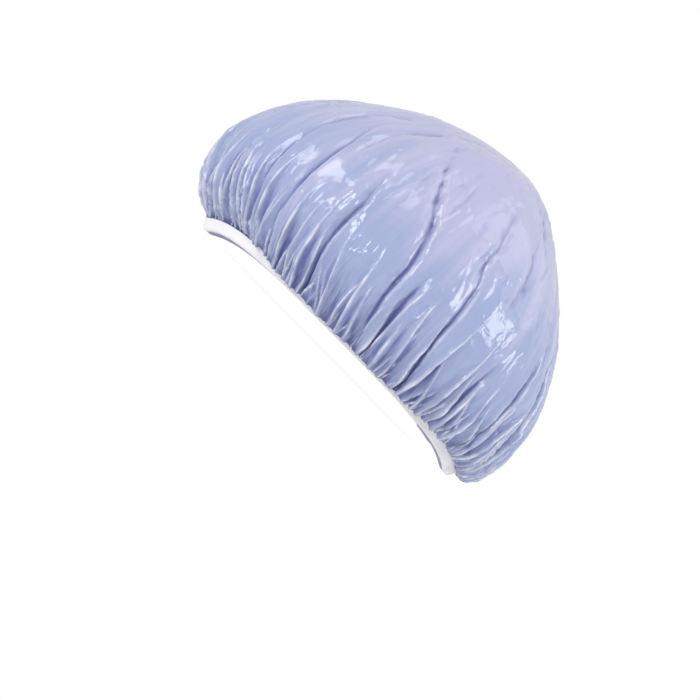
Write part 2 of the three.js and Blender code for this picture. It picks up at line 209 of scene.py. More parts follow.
@dataclass(frozen=True)
class VinylFilm:
    """Plasticised vinyl film, calendered smooth: glossy, softly see-through, and marked by storage creases.

    The calender leaves a wet gloss that white streaks run along. Blue and lavender bands run up the film.
    Painted shade deepens its colour in its folds and between its finest gathers, darkest between the pleats
    at the tape, and a painted highlight whitens the crests of its pleats. A range holds the two ends that are
    read, and then what they become.
    """

    panel: str = "#a5b1d4"
    flush: str = "#bfbfdd"
    # The fold and notch colours are painted shade, the crest colour a painted highlight.
    fold: str = "#6c73ab"
    notch: str = "#3d4180"
    crest: str = "#eceefb"
    glow: str = "#aeb4d4"
    ior: float = 1.53
    see_through: float = 0.2
    gloss_range: tuple[float, ...] = (0.3, 0.7, 0.1, 0.18)
    flush_size: float = 60.0
    flush_rise: tuple[float, ...] = (0.06, 0.15, -0.16, 0.27)
    flush_range: tuple[float, ...] = (0.43, 0.65)
    band_size: float = 7.0
    band_run: float = 110.0
    band_share: float = 0.7
    # Noise that makes the painted highlight on the crests come and go along them.
    crest_highlight_size: float = 12.0
    crest_highlight_range: tuple[float, ...] = (0.4, 0.62, 0.4, 1.0)
    crumple_size: float = 18.0
    crumple_height: float = 0.9
    worn_size: float = 40.0
    worn_range: tuple[float, ...] = (0.46, 0.62, 0.6, 1.0)
    hem_radius: float = 94.0
    disc_radius: float = 240.0
    gather_size: float = 2.6
    gather_run: float = 30.0
    gather_line: float = 0.17
    gather_reach: tuple[float, float] = (18.0, 75.0)
    gather_height: float = 0.9
    # Share of painted shade between the finest gathers.
    gather_shade: float = 0.55

    def fanned(self, tree: Tree, across: float, along: float) -> tuple[Socket, Socket]:
        """Lays out a pattern that fans up from the hem.

        Args:
            tree: The material's node tree.
            across: Size of the pattern round the hem.
            along: Size of the pattern up the film.

        Returns:
            Places in the pattern, and how far out on the flat disc they are.
        """
        round_scale, up_scale = self.hem_radius / across, 2 * self.disc_radius / along
        disc = add_node(tree, "UVMap", uv_map=BAKE_UV).outputs["UV"]
        away = add_node(tree, "VectorMath", {0: disc, 1: (0.5, 0.5, 0.0)}, operation="SUBTRACT").outputs[0]
        radius = add_node(tree, "VectorMath", {0: away}, operation="LENGTH").outputs["Value"]
        course = add_node(tree, "VectorMath", {0: away}, operation="NORMALIZE").outputs[0]
        turned = add_node(tree, "VectorMath", {0: course, "Scale": round_scale}, operation="SCALE").outputs[0]
        height = add_node(tree, "Math", {0: radius, 1: up_scale}, operation="MULTIPLY").outputs[0]
        lifted = add_node(tree, "CombineXYZ", {"Z": height}).outputs[0]
        return add_node(tree, "VectorMath", {0: turned, 1: lifted}, operation="ADD").outputs[0], radius

    def gathered(self, tree: Tree) -> Socket:
        """Draws the finest gathers, lines that fan up from the hem a few millimetres apart.

        Args:
            tree: The material's node tree.

        Returns:
            Depth between the lines, from 0 to 1, which fades up the film.
        """
        place, radius = self.fanned(tree, self.gather_size, self.gather_run)
        swells = add_node(tree, "TexNoise", {"Vector": place, "Scale": 1.0, "Detail": 1.0, "Roughness": 0.4})
        level = add_node(tree, "Math", {0: swells.outputs["Fac"], 1: 0.5}, operation="SUBTRACT").outputs[0]
        from_line = add_node(tree, "Math", {0: level}, operation="ABSOLUTE").outputs[0]
        depth = add_node(tree, "MapRange", {"Value": from_line, "From Max": self.gather_line}).outputs[0]
        low, high = (0.5 * (1 - reach / self.disc_radius) for reach in self.gather_reach)
        near_hem = add_node(tree, "MapRange", {"Value": radius, "From Min": high, "From Max": low}).outputs[0]
        return add_node(tree, "Math", {0: depth, 1: near_hem}, operation="MULTIPLY").outputs[0]

    def material(self) -> bpy.types.Material:
        """Builds the film's node material.

        Returns:
            A material that reads the piece's fold, notch and crest attributes, which paint shade and a
            highlight into its colour.
        """
        made = bpy.data.materials.new("calendered_vinyl_film")
        tree = emptied(made)
        place = add_node(tree, "TexCoord").outputs["Object"]
        height = add_node(tree, "SeparateXYZ", {"Vector": place}).outputs["Z"]
        # The second noise, strain, makes the painted highlight on the crests come and go along them.
        patches, strain, wear = (
            add_node(tree, "TexNoise", {"Vector": place, "Scale": 1000 / size, "Detail": fine}).outputs[0]
            for size, fine in ((self.flush_size, 2.0), (self.crest_highlight_size, 1.0), (self.worn_size, 1.0))
        )
        fan, _ = self.fanned(tree, self.band_size, self.band_run)
        bands = add_node(tree, "TexNoise", {"Vector": fan, "Scale": 1.0, "Detail": 2.0}).outputs["Fac"]
        banded = add_node(tree, "Mix", {0: self.band_share, 2: patches, 3: bands}).outputs[0]
        rise, gloss, crest_highlight_share, worn = (
            add_node(tree, "MapRange", {"Value": source, **dict(zip(RANGE, ends))}).outputs[0]
            for source, ends in (
                (height, self.flush_rise),
                (patches, self.gloss_range),
                (strain, self.crest_highlight_range),
                (wear, self.worn_range),
            )
        )
        tinted = add_node(tree, "Math", {0: banded, 1: rise}, operation="ADD").outputs[0]
        flush_ends = dict(zip(RANGE, self.flush_range))
        flushed = add_node(tree, "MapRange", {"Value": tinted, **flush_ends}).outputs[0]
        folds, notches, crests = (
            add_node(tree, "Attribute", attribute_name=name).outputs["Fac"]
            for name in ("fold", "notch", "crest")
        )
        # Painted shade: the finest gathers and the folds darken the colour, and the notches at the tape
        # darken it most. Painted highlight: the crests are whitened, more in some patches than in others.
        gathers = self.gathered(tree)
        shading = {0: gathers, 1: self.gather_shade, 2: folds}
        shaded = add_node(tree, "Math", shading, operation="MULTIPLY_ADD", use_clamp=True).outputs[0]
        painted_crest_highlight = add_node(tree, "Math", {0: crests, 1: crest_highlight_share}, operation="MULTIPLY").outputs[0]
        colour = linear(self.panel)
        for share, tint in (
            (flushed, self.flush), (shaded, self.fold), (notches, self.notch), (painted_crest_highlight, self.crest)
        ):
            blend = {0: share, 6: colour, 7: linear(tint)}
            colour = add_node(tree, "Mix", blend, data_type="RGBA").outputs[2]
        ridges = {"Vector": place, "Scale": 1000 / self.crumple_size, "Detail": 2.0, "Distortion": 0.5}
        ridges |= {"Offset": 0.9, "Gain": 1.6}
        crumple = add_node(tree, "TexNoise", ridges, noise_type="RIDGED_MULTIFRACTAL").outputs["Fac"]
        crumpled = add_node(tree, "Math", {0: crumple, 1: worn}, operation="MULTIPLY").outputs[0]
        lines = {"Strength": 0.8, "Distance": self.gather_height * MM, "Height": gathers}
        lined = add_node(tree, "Bump", lines, invert=True).outputs["Normal"]
        creases = {"Strength": 0.6, "Distance": self.crumple_height * MM, "Height": crumpled, "Normal": lined}
        creased = add_node(tree, "Bump", creases).outputs["Normal"]
        skin = {"Base Color": colour, "Roughness": gloss, "IOR": self.ior, "Normal": creased}
        surface = add_node(tree, "BsdfPrincipled", skin).outputs[0]
        through = add_node(tree, "BsdfTranslucent", {"Color": linear(self.glow)}).outputs[0]
        both = add_node(tree, "MixShader", {0: self.see_through, 1: surface, 2: through}).outputs[0]
        add_node(tree, "OutputMaterial", {"Surface": both})
        return made


@dataclass(frozen=True)
class WovenYarn:
    """White yarn goods: woven binding tape, knitted elastic or spun sewing thread, told apart by their yarn.

    Yarn gives a matt surface with fine ribs across the run, a faint fuzz and slightly uneven whiteness.
    """

    name: str
    light: str
    dark: str
    rib_size: float
    rib_height: float
    roughness: float
    fuzz: float = 0.25
    ior: float = 1.5
    wear_scale: float = 0.12

    def material(self) -> bpy.types.Material:
        """Builds a node material that reads the piece's run in millimetres.

        Returns:
            The material.
        """
        made = bpy.data.materials.new(self.name)
        tree = emptied(made)
        run = add_node(tree, "UVMap", uv_map=RUN_UV).outputs["UV"]
        ribs = {"Vector": run, "Scale": math.pi / (10 * self.rib_size), "Distortion": 0.4, "Detail": 1.0}
        warp, weft = (add_node(tree, "TexWave", ribs, bands_direction=way).outputs["Fac"] for way in "XY")
        weave = add_node(tree, "Math", {0: warp, 1: weft}, operation="MULTIPLY").outputs[0]
        wear = add_node(tree, "TexNoise", {"Vector": run, "Scale": self.wear_scale, "Detail": 3.0})
        # The colour is darker where the weave is low, painted shade between the ribs, and uneven at random.
        shading = {0: weave, 1: 0.5, 2: wear.outputs["Fac"]}
        shade = add_node(tree, "Math", shading, operation="MULTIPLY_ADD").outputs[0]
        tints = {0: shade, 6: linear(self.dark), 7: linear(self.light)}
        colour = add_node(tree, "Mix", tints, data_type="RGBA").outputs[2]
        relief = {"Strength": 0.6, "Distance": self.rib_height * MM, "Height": weave}
        skin = {
            "Base Color": colour,
            "Roughness": self.roughness,
            "Sheen Weight": self.fuzz,
            "IOR": self.ior,
            "Normal": add_node(tree, "Bump", relief).outputs["Normal"],
        }
        add_node(tree, "OutputMaterial", {"Surface": add_node(tree, "BsdfPrincipled", skin).outputs[0]})
        return made


class Dressed:
    """A sub-assembly whose pieces share one finish."""

    finish: VinylFilm | WovenYarn

    def dress(self, *pieces: Piece) -> None:
        """Gives the pieces their finish.

        Args:
            pieces: Mesh objects, which share one material.
        """
        material = self.finish.material()
        for piece in pieces:
            piece.data.materials.append(material)


@dataclass(frozen=True)
class HemLine:
    """Fold line of the hem, an ellipse that rides up at the cap's sides, with the layers that it holds."""

    length: float = 213.0
    width: float = 154.0
    side_lift: float = 11.0
    rest_arc: float = 12.0
    side_ease: float = 0.15
    flare: float = 0.5
    tape: float = 0.35
    film: float = 0.55
    elastic: float = 0.7
    elastic_width: float = 5.0
    gap: float = 0.3
    margin: float = 0.85

    @property
    def channel_half(self) -> float:
        """Half of the room between the two walls of the tape."""
        return (3 * self.gap + self.film + self.elastic) / 2

    @property
    def half(self) -> float:
        """Half of the hem's whole thickness."""
        return self.channel_half + self.tape

    @property
    def floor(self) -> float:
        """Height of the elastic's lower edge above the fold."""
        return self.tape + self.gap

    @property
    def height(self) -> float:
        """Height of the tape's upper edge above the fold."""
        return self.floor + self.elastic_width + self.margin

    @property
    def film_offset(self) -> float:
        """Place of the film, out from the middle of the layers."""
        return self.channel_half - self.gap - self.film / 2

    def side_share(self, angle: Array) -> Array:
        """Finds how far round to the sides of the cap an angle is.

        Args:
            angle: Angles round the hem, from the back.

        Returns:
            0 where the hem lies flat, and up to 1 at the sides.
        """
        flat = math.sin(math.radians(self.rest_arc))
        beyond = np.maximum(np.abs(np.sin(angle)) - flat, 0) / (1 - flat)
        eased = beyond**2 * (1 + self.side_ease) / (beyond + self.side_ease)
        return eased * (2 - eased)

    def outward(self, angle: Array) -> Array:
        """Gives the level direction out of the hem at each angle."""
        sides = [self.width * np.cos(angle), self.length * np.sin(angle), np.zeros_like(angle)]
        return unit(np.stack(sides, axis=-1))

    def point(self, angle: Array, up: Array | float, out: Array | float) -> Array:
        """Finds points of the hem's section.

        Args:
            angle: Angles round the hem, from the back.
            up: Heights above the fold.
            out: Places out from the middle of the layers.

        Returns:
            Points along the last axis.
        """
        angle, up, out = np.broadcast_arrays(np.asarray(angle, dtype=float), up, out)
        x, y = self.length / 2 * np.cos(angle), self.width / 2 * np.sin(angle)
        fold = np.stack([x, y, self.side_lift * self.side_share(angle)], axis=-1)
        lifted = np.stack([np.zeros_like(up), np.zeros_like(up), up], axis=-1)
        return fold + self.outward(angle) * (out + self.flare * up)[..., None] + lifted

    def speed(self, angle: Array | float) -> Array:
        """Gives the length along the fold that a radian spans at an angle."""
        return np.hypot(self.length / 2 * np.sin(angle), self.width / 2 * np.cos(angle))

    def even_angles(
        self, count: int, first: float = 0.0, last: float = TURN, closed: bool = True, samples: int = 4001
    ) -> Array:
        """Spaces angles evenly along the fold.

        Args:
            count: Number of angles.
            first: Angle of the first.
            last: Angle at which the run ends.
            closed: Whether the end is left out because the run joins up.
            samples: Number of angles at which the fold is measured.

        Returns:
            The angles, in order.
        """
        fine = np.linspace(first, last, samples)
        steps = self.speed(fine)
        lengths = summed((steps[1:] + steps[:-1]) / 2 * np.diff(fine))
        return np.interp(np.linspace(0, lengths[-1], count, endpoint=not closed), lengths, fine)

    def span(self, length: float, angle: float) -> float:
        """Gives the angle that a length along the hem spans."""
        return length / float(self.speed(angle))


@dataclass(frozen=True)
class TapeLap:
    """Where the tape's covering end passes over its other end."""

    hem: HemLine
    angle: float = 35.0
    length: float = 14.0
    step_length: float = 5.0

    @property
    def start(self) -> float:
        """Angle of the covered end."""
        return math.radians(self.angle)

    @property
    def end(self) -> float:
        """Angle of the covering end."""
        return self.start + self.hem.span(self.length, self.start)

    @property
    def middle(self) -> float:
        """Angle of the lap's middle."""
        return (self.start + self.end) / 2

    @property
    def growth(self) -> float:
        """How much the covering end is wider on each side."""
        return self.hem.tape + self.hem.gap

    @property
    def step(self) -> float:
        """Angle over which the tape widens to cover its other end."""
        return self.hem.span(self.step_length, self.start)

    def share(self, run: Array) -> Array:
        """Gives 0 on the plain tape and 1 on the covering end, for angles on from the covered end."""
        return smoothstep(run, self.start + TURN - self.step, self.start + TURN)


@dataclass(frozen=True)
class Crease:
    """A line pressed into the film: where it runs, by height and column, and its section in millimetres."""

    heights: Array
    columns: Array
    depth: float
    flanks: tuple[float, float]
    onset: float
    fade: float
    lip: float = 0.0


@dataclass(frozen=True)
class Fold:
    """A long fold: its angle in degrees at three levels of the film, how far up it reaches and its depth."""

    foot: float
    middle: float
    top: float
    reach: float
    depth: float = 3.4


@dataclass(frozen=True)
class FoldSection:
    """Section of the long folds, soft towards the front of the cap and sharp towards its back."""

    soft: tuple[float, float] = (3.2, 4.8)
    sharp: tuple[float, float] = (0.9, 1.2)
    wander: float = 0.4
    onset: float = 26.0
    fade: float = 0.4
    lip: float = 0.22
    stops: int = 8


@dataclass(frozen=True)
class DragLines:
    """Shallow lines that draw the film in above its hem: their number and the spread of their sizes."""

    count: int = 110
    foot: tuple[float, float] = (55.0, 140.0)
    run: tuple[float, float] = (35.0, 90.0)
    wander: float = 6.0
    sharp: tuple[float, float] = (1.0, 1.8)
    soft: tuple[float, float] = (3.0, 8.0)
    depth: tuple[float, float] = (0.6, 1.6)
    fade: float = 20.0
    stops: int = 4


@dataclass(frozen=True)
class GatherLevel:
    """One family of pleats: how many stand round the hem, and the spread of their sizes."""

    count: int
    reach: tuple[float, float]
    height: tuple[float, float]
    width: tuple[float, float]
    edge: tuple[float, float]
    scatter: float = 0.4
    wander: float = 0.1
    lean: float = 0.25
    lean_limit: float = 10.0
    turned: float = 0.2
    onset: float = 1.0
    fade: float = 0.7
    stops: int = 6


@dataclass(frozen=True)
class Crinkles:
    """Short, sharp storage creases that lie in patches: their number and the spread of their sizes."""

    patches: int = 110
    each: int = 14
    levels: tuple[float, float] = (38.0, 200.0)
    scatter_up: float = 9.0
    scatter_columns: float = 14.0
    tilt: float = 0.5
    crossing: float = 0.3
    length: tuple[float, float] = (4.0, 10.0)
    width: tuple[float, float] = (1.2, 2.8)
    lift: tuple[float, float] = (0.06, 0.22)


@dataclass(frozen=True)
class FilmForm:
    """The film's smooth form: its points by row and column, and their heights along the film."""

    rows: Array
    heights: Array

    @cached_property
    def level(self) -> Array:
        """Mean height of each row."""
        return self.heights.mean(axis=1)

    @cached_property
    def pitch(self) -> Array:
        """Distances from each column to the next."""
        return round_steps(self.rows)

    @cached_property
    def normal(self) -> Array:
        """Outward directions."""
        around = np.roll(self.rows, -1, axis=1) - np.roll(self.rows, 1, axis=1)
        return unit(np.cross(around, np.gradient(self.rows, axis=0)))

    def columns_from(self, centre: Array | float) -> Array:
        """Gives how many columns each one stands from a centre, the shorter way round."""
        count = self.rows.shape[1]
        return (np.arange(count) - centre + count / 2) % count - count / 2

    def averaged(self, values: Array, reach: float) -> Array:
        """Averages values along each row.

        Args:
            values: Numbers by row and column.
            reach: Millimetres to each side that the average takes in.

        Returns:
            The averages, by row and column.
        """
        means = np.empty_like(values)
        for row, line in enumerate(values):
            half = max(int(reach / self.pitch[row].mean()), 1)
            half = min(half, len(line) // 4)
            sums = summed(np.concatenate([line[-half:], line, line[:half]]))
            means[row] = (sums[2 * half + 1 :] - sums[: -2 * half - 1])[: len(line)] / (2 * half + 1)
        return means

    def faced(self, points: Array, reach: float = 3.0) -> Array:
        """Gives outward directions of shaped film, evened so that pleats along them keep clear of each other.

        Args:
            points: The shaped film, by row and column.
            reach: Millimetres to each side over which they are evened.

        Returns:
            The evened directions.
        """
        tangent = unit(np.roll(points, -1, axis=1) - np.roll(points, 1, axis=1))
        normal = unit(np.cross(tangent, np.gradient(points, axis=0)))
        evened = np.stack([self.averaged(normal[..., axis], reach) for axis in range(3)], axis=-1)
        for _ in range(3):
            evened[1:-1] = (evened[:-2] + 2 * evened[1:-1] + evened[2:]) / 4
        return unit(evened)


@dataclass(frozen=True)
class Settling:
    """How gathered film settles as a sheet that can't stretch, with the air inside pushing it out.

    Each slack is a share of spare length and the two heights between which it fades.
    """

    steps: int = 140
    quick_steps: int = 20
    push: float = 0.008
    slacks: tuple[tuple[float, float, float], ...] = ((0.05, 2.0, 45.0), (0.03, 30.0, 120.0))
    spare: float = 0.004
    least_gap: float = 0.12
    headroom: float = 0.4
    firmness: tuple[float, float] = (0.02, 0.06)
    firm_levels: tuple[float, float] = (15.0, 90.0)
    hold_share: float = 0.45
    rise_share: float = 0.9
    slant_share: float = 0.2
    reports: int = 10

    def settled(self, form: FilmForm, points: Array, drawn_in: Array) -> Array:
        """Lets the film settle.

        Args:
            form: The smooth form.
            points: The film with its valleys, by row and column.
            drawn_in: Depths of the folds and gathers, which storage has set in the film.

        Returns:
            The settled points.
        """
        x = points.astype(np.float32)
        base = form.rows.astype(np.float32)
        out = form.normal.astype(np.float32)
        around = np.roll(form.rows, -1, axis=1) - form.rows
        along = (around / form.pitch[..., None]).astype(np.float32)
        slack = sum(share * (1 - smoothstep(form.level, *ends)) for share, *ends in self.slacks) + self.spare
        hoop = (round_steps(points) * (1 + slack)[:, None]).astype(np.float32)
        hoop[form.level <= 0.0] = form.pitch[form.level <= 0.0]
        rise = np.maximum(*(np.linalg.norm(np.diff(film, axis=0), axis=-1) for film in (form.rows, points)))
        rise = rise.astype(np.float32)
        slant = np.sqrt(((hoop[1:] + hoop[:-1]) / 2) ** 2 + rise**2)
        free = (form.level > 0.0).astype(np.float32)
        free[-1] = 0
        least = (self.least_gap * form.pitch).astype(np.float32)
        limit = (self.headroom - drawn_in).astype(np.float32)
        soft, stiff = self.firmness
        firm = (soft + stiff * smoothstep(form.level, *self.firm_levels)).astype(np.float32) * free
        hoop_next, along_next, least_next = (np.roll(values, -1, axis=1) for values in (hoop, along, least))
        for _ in range(self.steps):
            x += (self.push * free)[:, None, None] * out
            for _ in range(2):
                self.hold(x, hoop, along, least, free)
                x = np.roll(x, -1, axis=1)
                self.hold(x, hoop_next, along_next, least_next, free)
                x = np.roll(x, 1, axis=1)
            for first in (0, 1):
                self.tie(x[first:-1:2], x[first + 1 :: 2], rise, free, first, self.rise_share)
            for turn in (1, -1):
                for first in (0, 1):
                    upper = np.roll(x[first + 1 :: 2], turn, axis=1)
                    self.tie(x[first:-1:2], upper, slant, free, first, self.slant_share)
                    x[first + 1 :: 2] = np.roll(upper, -turn, axis=1)
            bend = (np.roll(x, 1, axis=1) + np.roll(x, -1, axis=1)) / 2 - x
            x += firm[:, None, None] * (bend - (np.roll(bend, 1, axis=1) + np.roll(bend, -1, axis=1)) / 2)
            bend = (x[2:] + x[:-2]) / 2 - x[1:-1]
            x[2:-2] += firm[2:-2, None, None] * (bend[1:-1] - (bend[2:] + bend[:-2]) / 2)
            over = np.einsum("ijk,ijk->ij", x - base, out) - limit
            x -= (0.5 * np.maximum(over, 0) * free[:, None])[..., None] * out
        strain = (round_steps(x) / hoop - 1).mean(axis=1)[:: len(x) // self.reports]
        log.info("hoop strain after settling: %s", [f"{value:+.3f}" for value in strain])
        return x.astype(float)

    def hold(self, x: Array, rest: Array, along: Array, least: Array, free: Array) -> None:
        """Moves each pair of neighbours in a row to its length on the flat disc, without passing each other.

        Args:
            x: The film, which is changed.
            rest: Lengths from each column to the next.
            along: Directions from each column to the next on the smooth form.
            least: Least distances in those directions.
            free: 1 for the rows that may move, else 0.
        """
        a, b = x[:, 0::2], x[:, 1::2]
        gap = b - a
        length = np.sqrt(np.einsum("ijk,ijk->ij", gap, gap)) + 1e-6
        move = gap * ((length - rest[:, 0::2]) / length * self.hold_share * free[:, None])[..., None]
        run = np.einsum("ijk,ijk->ij", gap - 2 * move, along[:, 0::2])
        move -= (np.maximum(least[:, 0::2] - run, 0) * 0.5 * free[:, None])[..., None] * along[:, 0::2]
        a += move
        b -= move

    @staticmethod
    def tie(lower: Array, upper: Array, rest: Array, free: Array, first: int, share: float) -> None:
        """Draws neighbours in two rows together where they are further apart than on the flat disc.

        Args:
            lower: Every second row of the film, which is changed.
            upper: The rows above them, which are changed.
            rest: Lengths from each row to the next.
            free: 1 for the rows that may move, else 0.
            first: Number of the first lower row.
            share: How much of the excess is taken up at once.
        """
        free_lower, free_upper = free[first:-1:2], free[first + 1 :: 2]
        gap = upper - lower
        length = np.sqrt(np.einsum("ijk,ijk->ij", gap, gap)) + 1e-6
        weight = np.maximum(free_lower + free_upper, 1e-6)
        pull = gap * (np.maximum(length - rest[first::2], 0) / length * share)[..., None]
        lower += pull * (free_lower / weight)[:, None, None]
        upper -= pull * (free_upper / weight)[:, None, None]


@dataclass(frozen=True)
class FilmMarks:
    """Where painted shade deepens the film in its folds and darkens it between its pleats at the tape, and
    where a painted highlight whitens its crests.

    A fold or crest holds how far round it the film is averaged, the depth at which it starts to show, and the
    depth over which it grows.
    """

    fold: tuple[float, float, float] = (4.0, 0.3, 1.4)
    upper_levels: tuple[float, float] = (70.0, 140.0)
    upper_ease: tuple[float, float] = (0.1, 0.35)
    broad_crest: tuple[float, float, float] = (2.6, 0.15, 0.7)
    broad_share: float = 0.5
    sharp_crest: tuple[float, float, float] = (1.2, 0.1, 0.25)
    crest_levels: tuple[float, float] = (70.0, 170.0)
    crest_loss: float = 0.8
    notch_ridge: float = 0.62
    notch_depth: float = 0.25
    notch_levels: tuple[float, float] = (1.0, 6.0)
    notch_hang: tuple[float, float] = (8.0, 4.0)


@dataclass
class CrownFilm(Dressed):
    """The disc of film: gathered in the hem, puffed over it and drawn in to the crown."""

    hem: HemLine
    finish: VinylFilm = VinylFilm()
    disc: float = 480.0
    crown_height: float = 164.2
    crown_x: float = 8.0
    shoulder_height: float = 52.0
    shoulder_side_lift: float = 6.0
    overhang: tuple[float, float, float] = (28.5, 15.5, 26.5)
    fullness: tuple[float, float, float] = (1.72, 1.48, 2.1)
    tuck: float = 3.5
    exit_rise: float = 0.6
    roll_rise: float = 2.4
    roll_drop: float = 4.0
    skirt_reach: float = 6.0
    skirt_rise: tuple[float, float, float] = (4.0, -2.0, -6.6)
    hang_power: int = 6
    billow_run: float = 13.0
    billow_slope: float = 0.7
    billow_turn: float = 20.0
    samples: tuple[int, int, int, int] = (14, 24, 60, 160)
    columns: int = 1040
    column_pitch: float = 0.57
    lower_rows: tuple[tuple[float, float, int], ...] = (
        (-3.0, 0.0, 3),
        (0.0, 8.0, 10),
        (8.0, 60.0, 34),
        (60.0, 165.0, 50),
    )
    upper_rows: int = 22
    strides: tuple[int, ...] = (1, 2, 4, 8)
    stride_levels: tuple[float, ...] = (138.0, 165.0, 205.0)
    cap_radius: float = 7.0
    uv_radius: float = 0.49
    seed: int = 11
    fold_levels: tuple[float, float, float] = (0.0, 90.0, 170.0)
    folds: tuple[Fold, ...] = (
        Fold(8, 7, 2, 120),
        Fold(25, 27, 33, 150),
        Fold(42, 40, 46, 95),
        Fold(59, 62, 70, 135),
        Fold(75, 76, 84, 165),
        Fold(95, 92, 101, 110),
        Fold(111, 113, 118, 150),
        Fold(128, 125, 131, 90),
        Fold(146, 149, 144, 140),
        Fold(163, 161, 157, 115),
        Fold(181, 183, 178, 100),
        Fold(198, 196, 190, 130),
        Fold(214, 211, 202, 85),
        Fold(228.5, 223, 212, 100),
        Fold(238, 236, 226, 135),
        Fold(254, 253.5, 240, 112),
        Fold(275.2, 273, 248, 172),
        Fold(280, 278, 262, 86),
        Fold(294, 290, 277, 128),
        Fold(309, 310, 300, 76),
        Fold(323, 326, 316, 108),
        Fold(340, 341, 335, 125),
    )
    fold_section: FoldSection = FoldSection()
    drag_lines: DragLines = DragLines()
    crinkling: Crinkles = Crinkles()
    settling: Settling = Settling()
    marking: FilmMarks = FilmMarks()
    pleats: tuple[GatherLevel, ...] = (
        GatherLevel(56, (60, 110), (0.8, 1.1), (2.2, 3.8), (0.8, 1.2)),
        GatherLevel(105, (36, 76), (0.7, 1.0), (1.5, 2.3), (0.8, 1.0)),
        GatherLevel(90, (16, 40), (0.5, 0.9), (1.0, 1.5), (0.7, 0.9)),
    )
    bunches: tuple[tuple[int, float], ...] = ((31, 4.4), (17, 4.0), (7, 5.0))
    crease_bluntness: float = 0.12
    crease_opening: tuple[float, float] = (60.0, 170.0)
    crease_end: float = 2.0
    lip_reach: float = 7.0
    hollow_levels: tuple[float, ...] = (0.0, 2.0, 7.0, 16.0, 42.0, 70.0, 112.0)
    hollow_depths: tuple[float, ...] = (0.0, 1.4, 4.0, 6.0, 5.0, 2.6, 0.0)
    hollow_loss: float = 0.6
    hollow_loss_levels: tuple[float, float] = (8.0, 22.0)
    crest_share: float = 0.4

    def profile(self, angle: Array) -> Array:
        """Draws the smooth form that the puffed film follows.

        Args:
            angle: One angle for each column.

        Returns:
            Points by column and place along the run, evenly spaced from inside the hem to the crown.
        """
        hem = self.hem
        side = hem.side_share(angle)
        tucked, rolled, billowed, crowned = self.samples
        top = hem.height + self.exit_rise
        rise_up = np.linspace(hem.height - self.tuck, top, tucked)
        leaving = hem.point(angle[:, None], rise_up[None, :], hem.film_offset)
        ends = np.where(np.cos(angle) < 0, self.skirt_rise[0], self.skirt_rise[1])
        droop = side**self.hang_power
        skirt = hem.point(angle, top, hem.film_offset + self.skirt_reach)
        skirt[:, 2] += ends + (self.skirt_rise[2] - ends) * droop
        out = hem.outward(angle)
        course = unit(out + np.array([0, 0, self.billow_slope]))
        above = leaving[:, -1] + unit(hem.flare * out + UP) * self.roll_rise
        before = skirt - course * self.roll_rise * (1 - droop)[:, None] + UP * self.roll_drop * droop[:, None]
        roll = self.curve((leaving[:, -1], above, before, skirt), rolled)
        outset = hem.film_offset + hem.flare * (hem.height + 1)
        front, back, beside = self.overhang
        half_length = hem.length / 2 + outset + (front + back) / 2
        half_width = hem.width / 2 + outset + beside
        shoulder_x = (back - front) / 2 + half_length * np.cos(angle)
        shoulder_z = self.shoulder_height + self.shoulder_side_lift * side
        shoulder = np.stack([shoulder_x, half_width * np.sin(angle), shoulder_z], axis=-1)
        pull = (skirt + course * self.billow_run, shoulder - UP * self.billow_turn)
        billow = self.curve((skirt, *pull, shoulder), billowed)
        lengthways = self.fullness[1] + (self.fullness[0] - self.fullness[1]) * (1 - np.cos(angle)) / 2
        full = (lengthways + (self.fullness[2] - lengthways) * np.sin(angle) ** 2)[:, None]
        turn = np.linspace(0, math.pi / 2, crowned)[None, 1:]
        inward = np.maximum(np.cos(turn), 1e-9) ** (2 / full)
        upward = np.sin(turn) ** (2 / full)
        crown_x = self.crown_x + (shoulder[:, :1] - self.crown_x) * inward
        crown_z = shoulder[:, 2:] + (self.crown_height - shoulder[:, 2:]) * upward
        crown = np.stack([crown_x, shoulder[:, 1:2] * inward, crown_z], axis=-1)
        return self.evened(np.concatenate([leaving, roll[:, 1:], billow[:, 1:], crown], axis=1))

    @staticmethod
    def curve(corners: Sequence[Array], count: int) -> Array:
        """Draws one smooth curve for each column.

        Args:
            corners: The start, two points that pull the curve, and the end, by column.
            count: Points along the curve.

        Returns:
            Points by column and place.
        """
        share = np.linspace(0, 1, count)[None, :, None]
        weights = [(1 - share) ** 3, 3 * (1 - share) ** 2 * share, 3 * (1 - share) * share**2, share**3]
        return sum(weight * corner[:, None, :] for weight, corner in zip(weights, corners))

    @staticmethod
    def evened(lines: Array, step: float = 0.5, softness: float = 1.2) -> Array:
        """Resamples lines of points evenly and rounds their corners.

        Args:
            lines: Points by column and place.
            step: Distance between the new points.
            softness: Length over which corners are rounded.

        Returns:
            New lines, each of the same count, with its own length spread evenly.
        """
        lengths = summed(np.linalg.norm(np.diff(lines, axis=1), axis=-1))
        count = int(lengths[:, -1].max() / step)
        evened = np.empty((len(lines), count, 3))
        for line, length, new in zip(lines, lengths, evened):
            places = np.linspace(0, length[-1], count)
            for axis in range(3):
                new[:, axis] = np.interp(places, length, line[:, axis])
        reach = int(3 * softness / step)
        taps = np.exp(-0.5 * (np.arange(-reach, reach + 1) * step / softness) ** 2)
        taps /= taps.sum()
        head = 2 * evened[:, :1] - evened[:, reach:0:-1]
        tail = 2 * evened[:, -1:] - evened[:, -2 : -reach - 2 : -1]
        padded = np.concatenate([head, evened, tail], axis=1)
        return sum(tap * padded[:, i : i + count] for i, tap in enumerate(taps))

